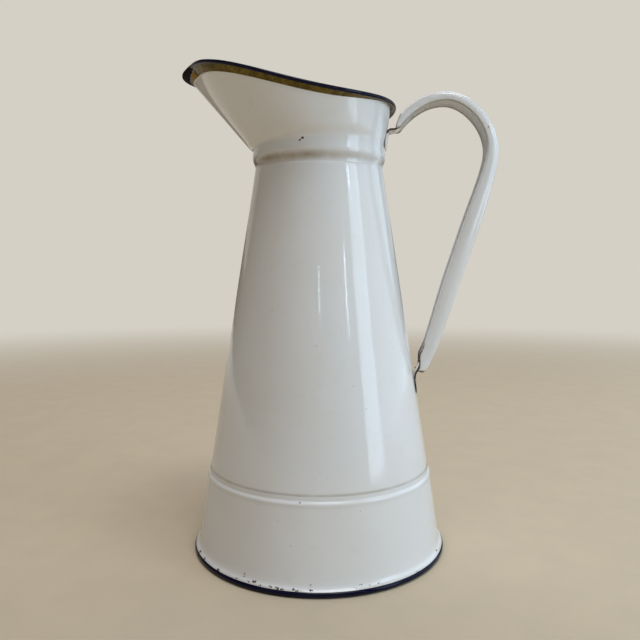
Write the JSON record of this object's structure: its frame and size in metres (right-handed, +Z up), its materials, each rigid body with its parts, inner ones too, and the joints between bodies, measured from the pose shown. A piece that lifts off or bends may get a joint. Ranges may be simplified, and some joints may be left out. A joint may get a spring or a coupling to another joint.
{
  "type": "water jug",
  "caption": "Tall conical enamelled steel water jug with an oblique pouring lip, a bent channel handle on two lugs and a rolled foot.",
  "frame": {"origin": "on the surface the jug stands on, under the middle of its bounding box (the body's own axis is 14.5 mm towards -X)", "axes": "+Z up along the body's axis, -X towards the pouring lip, +X towards the handle"},
  "size_m": [0.2458, 0.2, 0.3718],
  "materials": {
    "white_enamel": "glossy white vitreous enamel on sheet steel, with small chips",
    "navy_enamel": "glossy navy vitreous enamel on the rolled edges, worn and chipped in places"
  },
  "bodies": {
    "root": {"cone_shell": "white_enamel", "base_band": "white_enamel", "foot_roll": "navy_enamel", "bottom_plate": "white_enamel", "spout_collar": "white_enamel", "lip_roll": "navy_enamel", "handle_strap": "white_enamel", "upper_handle_lug": "white_enamel", "lower_handle_lug": "white_enamel"}
  },
  "joints": []
}
